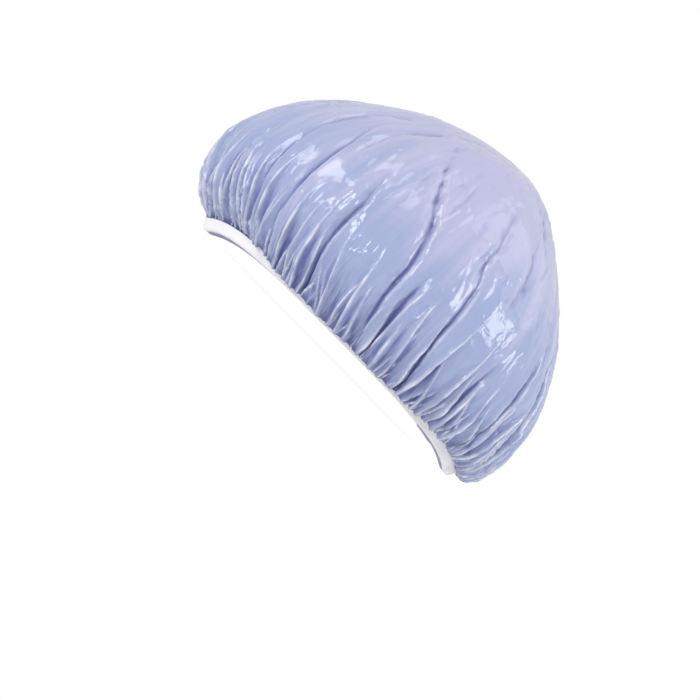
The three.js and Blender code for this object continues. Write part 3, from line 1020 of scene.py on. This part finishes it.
    def form(self) -> FilmForm:
        """Lays the rows and columns of the film on its smooth form.

        Returns:
            The form.
        """
        lines = self.profile(self.hem.even_angles(self.columns))
        lengths = summed(np.linalg.norm(np.diff(lines, axis=1), axis=-1))
        edge = self.tuck * math.hypot(1, self.hem.flare)
        lower = np.concatenate([np.linspace(a, b, n, endpoint=False) for a, b, n in self.lower_rows])
        start = self.lower_rows[-1][1]
        share = np.linspace(0, 1, self.upper_rows)
        rows = np.empty((len(lower) + self.upper_rows, len(lines), 3))
        heights = np.empty(rows.shape[:2])
        for j, (line, length) in enumerate(zip(lines, lengths)):
            end = length[-1] - edge - self.cap_radius
            heights[:, j] = np.concatenate([lower, start + (end - start) * share])
            for axis in range(3):
                rows[:, j, axis] = np.interp(heights[:, j] + edge, length, line[:, axis])
        log.info("film form of %d rows and %d columns", *heights.shape)
        return FilmForm(rows, heights)

    def column_at(self, degrees: Array) -> Array:
        """Gives the columns that stand at angles round the hem."""
        return np.interp(np.radians(degrees), self.hem.even_angles(self.columns), np.arange(self.columns))

    def long_folds(self) -> list[Crease]:
        """Sets out the long folds, sharp towards the back of the cap, and shallow drag lines above them.

        Returns:
            The lines, sunk into the film.
        """
        rng = np.random.default_rng(self.seed)
        made = []
        section = self.fold_section
        for fold in self.folds:
            heights = np.linspace(0, fold.reach, section.stops)
            degrees = np.interp(heights, self.fold_levels, (fold.foot, fold.middle, fold.top))
            wander = rng.uniform(-section.wander, section.wander, section.stops) * (heights > 0)
            flanks = (rng.uniform(*section.soft), rng.uniform(*section.sharp))
            if fold.foot < 180:
                flanks = flanks[::-1]
            columns = self.column_at(degrees + wander)
            fade = section.fade * fold.reach
            made.append(Crease(heights, columns, fold.depth, flanks, section.onset, fade, section.lip))
        drag = self.drag_lines
        for _ in range(drag.count):
            heights = rng.uniform(*drag.foot) + rng.uniform(*drag.run) * np.linspace(0, 1, drag.stops)
            columns = rng.uniform(0, self.columns) + rng.uniform(-drag.wander, drag.wander, drag.stops)
            flanks = (rng.uniform(*drag.sharp), rng.uniform(*drag.soft))
            if rng.random() < 0.5:
                flanks = flanks[::-1]
            made.append(Crease(heights, columns, rng.uniform(*drag.depth), flanks, drag.fade, drag.fade))
        return made

    def gathers(self, level: GatherLevel, seed: int) -> list[Crease]:
        """Sets out one family of gathers, which fan up from the tape.

        Args:
            level: The family.
            seed: Number that settles its chances.

        Returns:
            Its lines.
        """
        rng = np.random.default_rng(seed)
        made = []
        spacing = self.columns / level.count
        shares = np.linspace(0, 1, level.stops)
        for i in range(level.count):
            reach = rng.uniform(*level.reach)
            lean = rng.uniform(-1, 1) * min(level.lean * reach, level.lean_limit) / self.column_pitch
            wander = rng.uniform(-level.wander, level.wander, level.stops) * spacing
            foot = (i + rng.uniform(-level.scatter, level.scatter)) * spacing
            turns = TURN * foot / self.columns
            drawn = sum(shift * math.sin(count * turns) for count, shift in self.bunches)
            columns = foot + drawn * (1 - shares) + lean * shares + wander
            flanks = (rng.uniform(*level.width), rng.uniform(*level.edge))
            if (columns[0] % self.columns < self.columns / 2) != (rng.random() < level.turned):
                flanks = flanks[::-1]
            height = rng.uniform(*level.height)
            made.append(Crease(reach * shares, columns, height, flanks, level.onset, level.fade * reach))
        return made

    def pressed(self, form: FilmForm, creases: list[Crease], join: np.ufunc) -> Array:
        """Puts creases on the film.

        Args:
            form: The smooth form.
            creases: The lines, each with a section that is sharp at its middle.
            join: How lines that meet are put together.

        Returns:
            Depth of the creases, by row and column.
        """
        depth = np.zeros_like(form.heights)
        blunt = self.crease_bluntness
        for crease in creases:
            foot, reach = crease.heights[0], crease.heights[-1]
            end = reach + self.crease_end
            rows = np.nonzero((form.level > foot) & (form.level < end))[0]
            level, pitch = form.level[rows], form.pitch[rows]
            away = form.columns_from(np.interp(level, crease.heights, crease.columns)[:, None])
            opening = 1 + smoothstep(level, *self.crease_opening)[:, None]
            across = away * pitch / (opening * np.where(away < 0, *crease.flanks))
            shape = np.exp(blunt - np.sqrt(across**2 + blunt**2))
            is_sharp = (away < 0) == (crease.flanks[0] < crease.flanks[1])
            lip = is_sharp * crease.lip * (1 - shape)
            shape = shape - lip * np.exp(-np.abs(away) * pitch / self.lip_reach)
            strength = smoothstep(level - foot, 0.0, crease.onset)
            strength *= 1 - smoothstep(level, reach - crease.fade, end)
            depth[rows] = join(depth[rows], crease.depth * strength[:, None] * shape)
        return depth

    def crinkled(self, form: FilmForm) -> Array:
        """Presses short, sharp storage creases into the film.

        Args:
            form: The smooth form.

        Returns:
            Height above the film, by row and column.
        """
        rng = np.random.default_rng(self.seed + 1)
        look = self.crinkling
        raised = np.zeros_like(form.heights)
        low, high = look.levels
        patches = rng.uniform((low, 0), (high, self.columns), (look.patches, 2))
        for patch in np.repeat(patches, look.each, axis=0):
            height = patch[0] + rng.normal(0, look.scatter_up)
            column = patch[1] + rng.normal(0, look.scatter_columns)
            tilt = rng.normal(0, look.tilt) + (math.pi / 2 if rng.random() < look.crossing else 0)
            length = rng.uniform(*look.length) * (1 + 2 * rng.random() ** 3)
            width = rng.uniform(*look.width)
            lift = rng.uniform(*look.lift) * width * rng.choice((-1, 1))
            near = np.nonzero(np.abs(form.level - height) < length + width)[0]
            if len(near) == 0:
                continue
            away = form.columns_from(column) * form.pitch[near].mean()
            aside = np.nonzero(np.abs(away) < length + width)[0]
            x = away[None, aside]
            y = (form.level[near] - height)[:, None]
            along = y * math.cos(tilt) + x * math.sin(tilt)
            across = x * math.cos(tilt) - y * math.sin(tilt)
            shape = np.maximum(1 - np.abs(across) / width, 0) * np.maximum(1 - (along / length) ** 2, 0)
            raised[np.ix_(near, aside)] += lift * shape
        return raised

    def marks(self, form: FilmForm, points: Array, ridges: Array, hanging: Array) -> dict[str, Array]:
        """Finds where painted shade and a painted highlight change the film's colour.

        Args:
            form: The smooth form.
            points: The shaped film.
            ridges: How far each point lies on a pleat.
            hanging: How far each column hangs over the tape, from 0 to 1.

        Returns:
            How far each point lies in a fold, on a crest and in a notch, from 0 to 1.
        """
        look = self.marking
        sunk = np.einsum("ijk,ijk->ij", form.rows - points, form.normal)
        reach, start, spread = look.fold
        upper = smoothstep(form.heights, *look.upper_levels)
        depth = sunk - form.averaged(sunk, reach) - start + look.upper_ease[0] * upper
        fold = np.clip(depth / (spread - look.upper_ease[1] * upper), 0, 1)
        broad, sharp = (
            np.clip((form.averaged(sunk, reach) - sunk - start) / spread, 0, 1)
            for reach, start, spread in (look.broad_crest, look.sharp_crest)
        )
        crest = np.clip(look.broad_share * broad + sharp, 0, 1)
        crest *= 1 - look.crest_loss * smoothstep(form.heights, *look.crest_levels)
        # The notches are painted shade between the pleats, longer where the film hangs over the tape.
        notch = np.clip((look.notch_ridge - ridges) / look.notch_depth, 0, 1)
        low, high = look.notch_levels
        lower, longer = look.notch_hang
        notch *= 1 - smoothstep(form.heights - lower * hanging, low, high + longer * hanging)
        return {"fold": fold, "crest": crest, "notch": notch}

    def build(self) -> Piece:
        """Shapes the film and makes its mesh.

        Returns:
            The film as one open sheet.
        """
        form = self.form()
        valleys = self.pressed(form, self.long_folds(), np.add)
        pleats = []
        for i, level in enumerate(self.pleats):
            pleats += self.gathers(level, self.seed + 2 + i)
        ridges = self.pressed(form, pleats, np.maximum)
        hollows = np.interp(form.heights, self.hollow_levels, self.hollow_depths)
        hanging = self.hem.side_share(self.hem.even_angles(self.columns)) ** self.hang_power
        hollows *= 1 - self.hollow_loss * hanging * (1 - smoothstep(form.heights, *self.hollow_loss_levels))
        drawn_in = valleys + (1 - self.crest_share) * hollows
        points = self.settling.settled(form, form.rows - drawn_in[..., None] * form.normal, drawn_in)
        raised = hollows * ridges + self.crinkled(form)
        points = points + raised[..., None] * form.faced(points)
        return self.sheet(form, points, self.marks(form, points, ridges, hanging))

    def sheet(self, form: FilmForm, points: Array, marks: dict[str, Array]) -> Piece:
        """Joins the film into a mesh whose columns thin out towards the crown.

        Args:
            form: The smooth form.
            points: The shaped film.
            marks: Painted shade and painted highlight on the film's colour, by row and column, by name.

        Returns:
            The film object, with its marks as attributes and its place on the flat disc as a UV map.
        """
        heights = form.heights
        below = [form.level < top for top in self.stride_levels]
        strides = np.select(below, self.strides[:-1], self.strides[-1])
        grid = np.arange(self.columns)
        kept = [(row, column) for row, stride in enumerate(strides) for column in grid[::stride]]
        row, column = np.array(kept).T
        numbers = np.full(points.shape[:2], -1)
        numbers[row, column] = np.arange(len(kept))
        lowest = self.lower_rows[0][0]
        run = (heights[row, column] - lowest) / (heights[-1, column] - lowest + self.cap_radius)
        angle = column * TURN / self.columns
        places = self.uv_radius * (1 - run)[:, None] * np.stack([np.cos(angle), np.sin(angle)], axis=-1)
        top = points[-1, :: strides[-1]].mean(axis=0)
        top[2] = self.crown_height
        ring = numbers[-1, :: strides[-1]]
        faces = self.sheet_faces(points, numbers, strides)
        faces += [(ring[i], ring[(i + 1) % len(ring)], len(kept)) for i in range(len(ring))]
        shaped = np.concatenate([points[row, column], top[None]])
        film = mesh_piece("vinyl_film", shaped, [tuple(map(int, face)) for face in faces])
        for name, values in marks.items():
            layer = film.data.attributes.new(name, "FLOAT", "POINT")
            layer.data.foreach_set("value", np.append(values[row, column], 0).astype(np.float32))
        set_uv(film, BAKE_UV, np.concatenate([places, np.zeros((1, 2))]) + 0.5)
        return film

    def sheet_faces(self, points: Array, numbers: Array, strides: Array) -> list[tuple[int, ...]]:
        """Joins the rows of the film, with each quad turned so that it splits along its shorter diagonal.

        Args:
            points: The shaped film, by row and column.
            numbers: Number of each point in the mesh.
            strides: Columns from each kept point of a row to the next.

        Returns:
            Quads, and three triangles where two columns run into one.
        """
        faces = []
        for row in range(len(strides) - 1):
            step, above = strides[row], strides[row + 1]
            here, there = numbers[row], numbers[row + 1]
            starts = np.arange(0, self.columns, above)
            ends = np.roll(starts, -1)
            rising = np.linalg.norm(points[row + 1, ends] - points[row, starts], axis=-1)
            falling = np.linalg.norm(points[row + 1, starts] - points[row, ends], axis=-1)
            for j, k, is_rising in zip(starts, ends, rising < falling):
                corners = (here[j], here[k], there[k], there[j])
                if step == above:
                    faces.append(corners if is_rising else corners[1:] + corners[:1])
                    continue
                middle = here[j + step]
                faces.append((here[j], middle, there[j]))
                faces.append((middle, here[k], there[k]))
                faces.append((middle, there[k], there[j]))
        return faces


@dataclass
class HemBinding(Dressed):
    """White tape folded in a U over the film's edge, its ends lapped at one side of the cap."""

    hem: HemLine
    lap: TapeLap
    # A close plain weave scatters light evenly, so the tape reads flat, matt and white. Its yarns lie about
    # 0.3 mm apart and are drawn at 0.45 mm, coarse enough to show close up.
    finish: WovenYarn = WovenYarn("woven_polyester_tape", "#f6f5f5", "#eae8ea", 0.45, 0.05, 0.62)
    stations: int = 900
    fold_radius: float = 0.9
    fold_rise: float = 0.4
    samples: tuple[int, int, int] = (7, 6, 5)
    pucker: float = 0.08
    pucker_drop: float = 1.5
    pucker_reach: float = 1.2
    stitch: float = 3.0
    face_play: float = 0.01

    def outline(self, growth: float) -> Array:
        """Draws the tape's section, outer face first.

        Args:
            growth: How much wider than the plain tape it is on every side.

        Returns:
            Places out from the middle and up from the fold, one row each.
        """
        hem = self.hem
        outer, turned, inner = self.samples
        middle = self.fold_radius - growth
        half = []
        for wall, radius, count in (
            (hem.half + growth, self.fold_radius, outer),
            (hem.channel_half + growth, self.fold_radius - hem.tape, inner),
        ):
            side = [(wall, up) for up in np.linspace(hem.height, middle + self.fold_rise, count)]
            bend = [
                (wall - radius + radius * math.cos(turn), middle - radius * math.sin(turn))
                for turn in np.linspace(0, math.pi / 2, turned)
            ]
            half.append(side + bend)
        outside, inside = half[0], half[1][::-1]
        mirrored = [(-out, up) for out, up in reversed(outside)]
        mirrored_inside = [(-out, up) for out, up in reversed(inside)]
        return np.array(outside + mirrored + mirrored_inside + inside)

    def build(self) -> Piece:
        """Runs the section round the hem.

        Returns:
            The tape as one closed solid.
        """
        hem = self.hem
        run = hem.even_angles(self.stations, self.lap.start, self.lap.end + TURN, closed=False)
        plain, covering = self.outline(0.0), self.outline(self.lap.growth)
        section = plain + (covering - plain) * self.lap.share(run)[:, None, None]
        length = summed(np.diff(run) * hem.speed(run[1:]))
        outer = np.abs(plain[:, 0]) > hem.half - self.face_play
        wave = np.cos(TURN * length / self.stitch)[:, None] * self.pucker
        from_stitch = (plain[:, 1] - hem.height + self.pucker_drop) / self.pucker_reach
        swell = (wave + self.pucker) * np.exp(-(from_stitch**2))[None, :] * outer[None, :]
        out = section[..., 0] + np.sign(section[..., 0]) * swell
        points = hem.point(run[:, None], section[..., 1], out).reshape(-1, 3)
        tape = mesh_piece("binding_tape", points, tube_faces(self.stations, len(plain)))
        across = summed(np.linalg.norm(np.diff(plain, axis=0), axis=1))
        set_uv(tape, RUN_UV, run_places(length[:, None], across[None, :]))
        return tape


@dataclass
class ElasticBand(Dressed):
    """Flat ribbed elastic inside the tape, its ends butted under the lap."""

    hem: HemLine
    lap: TapeLap
    # Yarn knitted over rubber is duller and warmer than the tape, and its ribs shade each other.
    finish: WovenYarn = WovenYarn("knitted_elastic", "#efece8", "#cfc9c4", 0.6, 0.06, 0.8)
    stations: int = 480
    run_length: float = 590.0
    end_gap: float = 1.0
    ribs: int = 6
    rib_height: float = 0.08
    rib_points: int = 4

    def build(self) -> Piece:
        """Runs the ribbed section round the hem.

        Returns:
            The elastic as one closed solid.
        """
        hem = self.hem
        middle = self.lap.middle
        half_gap = hem.span(self.end_gap, middle) / 2
        run = hem.even_angles(self.stations, middle + half_gap, middle + TURN - half_gap, closed=False)
        inner = hem.gap - hem.channel_half
        up = np.linspace(0, hem.elastic_width, self.rib_points * self.ribs + 1)
        dip = self.rib_height * (1 + np.cos(TURN * self.ribs * up / hem.elastic_width)) / 2
        face = np.stack([inner + hem.elastic - dip, hem.floor + up], axis=-1)
        back = np.stack([inner + dip, hem.floor + up], axis=-1)
        section = np.concatenate([face[::-1], back])
        points = hem.point(run[:, None], section[None, :, 1], section[None, :, 0]).reshape(-1, 3)
        band = mesh_piece("ribbed_elastic", points, tube_faces(self.stations, len(section)))
        length = np.linspace(0, self.run_length, self.stations)
        set_uv(band, RUN_UV, run_places(length[:, None], section[None, :, 1]))
        return band


@dataclass
class HemStitching(Dressed):
    """Lock stitches on both faces of the hem and the zigzag that locks the lap."""

    hem: HemLine
    lap: TapeLap
    # Short fibres spun with a light twist give each stitch a soft sheen along its back.
    finish: WovenYarn = WovenYarn("spun_polyester_thread", "#f8f7f4", "#e2dfdc", 0.3, 0.04, 0.55)
    thread: float = 0.4
    sides: int = 8
    stitches: int = 200
    pitch: float = 3.0
    reach: float = 0.44
    stitch_points: int = 9
    dip: float = 0.34
    lie: float = 0.16
    inset: float = 1.5
    zigzags: int = 11
    zigzag_points: int = 16
    zigzag_bluntness: float = 0.97
    bartack_length: float = 5.0
    bartack_clearance: float = 1.0
    bartack_lie: float = 0.14

    def growth(self, angle: float) -> float:
        """Finds how far the lap stands out.

        Args:
            angle: An angle round the hem, from the back.

        Returns:
            Millimetres out from the plain tape.
        """
        beyond = angle % TURN
        if self.lap.start <= beyond <= self.lap.end:
            return self.lap.growth
        step = self.lap.step
        before = self.lap.start - beyond
        return self.lap.growth * float(smoothstep(step - before, 0, step)) if 0 < before < step else 0.0

    def tube(self, path: Array, out: Array) -> Array:
        """Sweeps a round thread along a path.

        Args:
            path: Points of the thread's middle.
            out: A direction that is never along the path.

        Returns:
            Points by ring and side.
        """
        along = unit(np.gradient(path, axis=0))
        across = unit(np.cross(out, along))
        rise = np.cross(along, across)
        turn = np.linspace(0, TURN, self.sides, endpoint=False)
        ring = np.cos(turn)[None, :, None] * rise[:, None] + np.sin(turn)[None, :, None] * across[:, None]
        return path[:, None] + self.thread / 2 * ring

    def sewn(self, name: str, paths: list[tuple[Array, Array]]) -> Piece:
        """Makes one piece of several lengths of thread.

        Args:
            name: Name of the piece.
            paths: The path and the outward direction of each length.

        Returns:
            The thread as one mesh.
        """
        points, faces, places = [], [], []
        first = 0
        turn = np.arange(self.sides) * self.thread * math.pi / self.sides
        for path, out in paths:
            points.append(self.tube(path, out).reshape(-1, 3))
            faces += tube_faces(len(path), self.sides, first)
            first += len(path) * self.sides
            length = summed(np.linalg.norm(np.diff(path, axis=0), axis=1))
            places.append(run_places(length[:, None] + turn[None, :], turn[None, :]))
        piece = mesh_piece(name, np.concatenate(points), faces)
        set_uv(piece, RUN_UV, np.concatenate(places))
        return piece

    def line(self, name: str, face: Face) -> Piece:
        """Sews one row of stitches that dip into the tape at both ends.

        Args:
            name: Name of the piece.
            face: The face of the hem that it lies on.

        Returns:
            The row of stitches.
        """
        hem = self.hem
        shares = np.linspace(-1, 1, self.stitch_points)
        dip = self.dip * np.abs(shares) ** 3
        paths = []
        for middle in hem.even_angles(self.stitches):
            angle = middle + self.reach * hem.span(self.pitch, middle) * shares
            lift = np.array([self.growth(a) for a in angle])
            away = face.value * (hem.half + self.lie + lift - dip)
            paths.append((hem.point(angle, hem.height - self.inset, away), hem.outward(np.array(middle))))
        return self.sewn(name, paths)

    def bartack(self, name: str) -> Piece:
        """Sews the zigzag on the lap.

        Args:
            name: Name of the piece.

        Returns:
            The zigzag as one thread.
        """
        hem = self.hem
        low = self.bartack_clearance
        high = hem.height - self.inset - self.bartack_clearance
        shares = np.linspace(0, 1, self.zigzags * self.zigzag_points + 1)
        wave = np.arcsin(np.cos(TURN * self.zigzags * shares) * self.zigzag_bluntness) / math.pi + 0.5
        half = hem.span(self.bartack_length, self.lap.middle) / 2
        angle = self.lap.middle + half * (2 * shares - 1)
        away = hem.half + self.lap.growth + self.bartack_lie
        path = hem.point(angle, low + (high - low) * wave, away)
        return self.sewn(name, [(path, hem.outward(np.array(self.lap.middle)))])


@dataclass(frozen=True)
class Softbox:
    """A flat studio lamp: where it stands in metres, its size in metres and its power in watts."""

    name: str
    place: tuple[float, float, float]
    size: tuple[float, float]
    power: float


@dataclass
class Studio:
    """Plain pale floor, soft lamps and the camera at the photograph's angle, in metres.

    The room is a little darker on the camera's side, for light on its way and for what the gloss reflects.
    """

    floor_colour: str = "#f4f4f5"
    floor_half: float = 0.75
    floor_drop: float = 0.0003
    floor_white: float = 1.2
    floor_range: tuple[float, ...] = (0.2, 0.45, 0.75, 1.0)
    floor_glow: float = 0.34
    aim: tuple[float, float, float] = (0.0105, 0.0, 0.01185)
    distance: float = 1.2
    frame_width: float = 0.434
    sensor: float = 36.0
    right: tuple[float, float, float] = (0.7014, 0.0, 0.7128)
    up: tuple[float, float, float] = (-0.7128, 0.0, 0.7014)
    daylight_range: tuple[float, ...] = (-0.7, 0.7, 0.27, 0.62)
    mirrored_range: tuple[float, ...] = (-0.7, 0.7, 0.35, 1.0)
    lamp_aim: tuple[float, float, float] = (0.0, 0.0, 0.08)
    lamps: tuple[Softbox, ...] = (
        Softbox("key_softbox", (-0.5, -0.6, 0.95), (0.5, 0.6), 2.5),
        Softbox("back_softbox", (1.0, -0.5, 0.55), (0.45, 0.7), 6.4),
        Softbox("front_softbox", (-0.95, -0.65, 0.42), (0.5, 0.36), 3.5),
        Softbox("camera_softbox", (-0.62, -1.1, 0.16), (0.4, 0.3), 3.8),
        Softbox("top_softbox", (0.6, -0.1, 1.2), (1.2, 1.2), 4.4),
    )

    def camera(self) -> None:
        """Sets the camera level with the cap, rolled so that the hem runs down to the right."""
        data = bpy.data.cameras.new("camera")
        data.sensor_width = self.sensor
        data.lens = self.sensor * self.distance / self.frame_width
        camera = bpy.data.objects.new("camera", data)
        right, up = Vector(self.right).normalized(), Vector(self.up).normalized()
        back = right.cross(up)
        place = Vector(self.aim) + back * self.distance
        camera.matrix_world = Matrix.Translation(place) @ Matrix((right, up, back)).transposed().to_4x4()
        bpy.context.scene.collection.objects.link(camera)
        bpy.context.scene.camera = camera

    @staticmethod
    def rays(tree: Tree) -> tuple[Socket, Socket]:
        """Tells rays that look at a surface from light on its way.

        Args:
            tree: The node tree.

        Returns:
            1 for a ray from the camera, and 1 for a ray that a gloss or clear film sends on.
        """
        path = add_node(tree, "LightPath").outputs
        sent_on = {0: path["Is Glossy Ray"], 1: path["Is Transmission Ray"]}
        return path["Is Camera Ray"], add_node(tree, "Math", sent_on, operation="MAXIMUM").outputs[0]

    def light(self) -> None:
        """Hangs the lamps and lights the room, which the camera sees as white."""
        for lamp in self.lamps:
            data = bpy.data.lights.new(lamp.name, "AREA")
            data.shape = "ELLIPSE"
            data.size, data.size_y = lamp.size
            data.energy = lamp.power
            made = bpy.data.objects.new(lamp.name, data)
            made.location = lamp.place
            towards = Vector(self.lamp_aim) - Vector(lamp.place)
            made.rotation_euler = towards.to_track_quat("-Z", "Y").to_euler()
            bpy.context.scene.collection.objects.link(made)
        world = bpy.data.worlds.new("white_room")
        bpy.context.scene.world = world
        tree = emptied(world)
        direction = add_node(tree, "TexCoord").outputs["Generated"]
        depth = add_node(tree, "SeparateXYZ", {"Vector": direction}).outputs["Y"]
        lit, mirrored = (
            add_node(tree, "MapRange", {"Value": depth, **dict(zip(RANGE, ends))}).outputs[0]
            for ends in (self.daylight_range, self.mirrored_range)
        )
        from_camera, sent_on = self.rays(tree)
        other = add_node(tree, "Mix", {0: sent_on, 2: lit, 3: mirrored}).outputs[0]
        strength = add_node(tree, "Mix", {0: from_camera, 2: other, 3: 1.0}).outputs[0]
        room = add_node(tree, "Background", {"Color": WHITE, "Strength": strength}).outputs[0]
        add_node(tree, "OutputWorld", {"Surface": room})

    def floor(self) -> Piece:
        """Lays a floor of matt paper, which spreads light and so shows a soft shadow and no reflection, and
        which also glows faintly for every ray and so lights the cap from below.

        Returns:
            The floor, which keeps the cap's shadow.
        """
        corners = self.floor_half / MM * np.array([(-1, -1, 0), (1, -1, 0), (1, 1, 0), (-1, 1, 0)])
        floor = mesh_piece("studio_floor", corners - UP * self.floor_drop / MM, [(0, 1, 2, 3)])
        made = bpy.data.materials.new("matt_paper_floor")
        tree = emptied(made)
        paper = add_node(tree, "BsdfDiffuse", {"Color": linear(self.floor_colour)}).outputs[0]
        white = add_node(tree, "Emission", {"Color": WHITE, "Strength": self.floor_white}).outputs[0]
        place = add_node(tree, "TexCoord").outputs["Object"]
        away = add_node(tree, "VectorMath", {0: place}, operation="LENGTH").outputs["Value"]
        glow = add_node(tree, "MapRange", {"Value": away, **dict(zip(RANGE, self.floor_range))}).outputs[0]
        from_camera, sent_on = self.rays(tree)
        seen = add_node(tree, "Math", {0: from_camera, 1: sent_on}, operation="MAXIMUM").outputs[0]
        share = add_node(tree, "Math", {0: seen, 1: glow}, operation="MULTIPLY").outputs[0]
        # The floor glows white by at least this share for every ray, so it lights the cap from below.
        lit = add_node(tree, "Math", {0: share, 1: self.floor_glow}, operation="MAXIMUM").outputs[0]
        both = add_node(tree, "MixShader", {0: lit, 1: paper, 2: white}).outputs[0]
        add_node(tree, "OutputMaterial", {"Surface": both})
        floor.data.materials.append(made)
        return floor


def main() -> None:
    """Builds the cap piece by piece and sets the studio."""
    logging.basicConfig(level=logging.INFO, format="%(name)s: %(message)s")
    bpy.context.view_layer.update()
    hem = HemLine()
    lap = TapeLap(hem)
    studio = Studio()
    studio.camera()
    studio.light()
    studio.floor()

    crown = CrownFilm(hem)
    film = crown.build()
    crown.dress(film)
    binding = HemBinding(hem, lap)
    tape = binding.build()
    binding.dress(tape)
    band = ElasticBand(hem, lap)
    elastic = band.build()
    band.dress(elastic)
    sewing = HemStitching(hem, lap)
    needle = sewing.line("needle_stitches", Face.OUTSIDE)
    bobbin = sewing.line("bobbin_stitches", Face.INSIDE)
    bartack = sewing.bartack("lap_zigzag")
    sewing.dress(needle, bobbin, bartack)

    dressed = (
        (film, "crown_film", "lavender_film"),
        (tape, "hem_binding", "white_tape"),
        (elastic, "elastic_band", "knit_elastic"),
        (needle, "needle_thread", "sewing_thread"),
        (bobbin, "bobbin_thread", "sewing_thread"),
        (bartack, "lap_bartack", "sewing_thread"),
    )
    for piece, node, slot in dressed:
        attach(piece, "root")
        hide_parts(node)
        log.info("%s stands for %s, %d faces", piece.name, node, len(piece.data.polygons))

    scene = bpy.context.scene
    scene.view_settings.view_transform = "Standard"


if __name__ == "__main__":
    main()
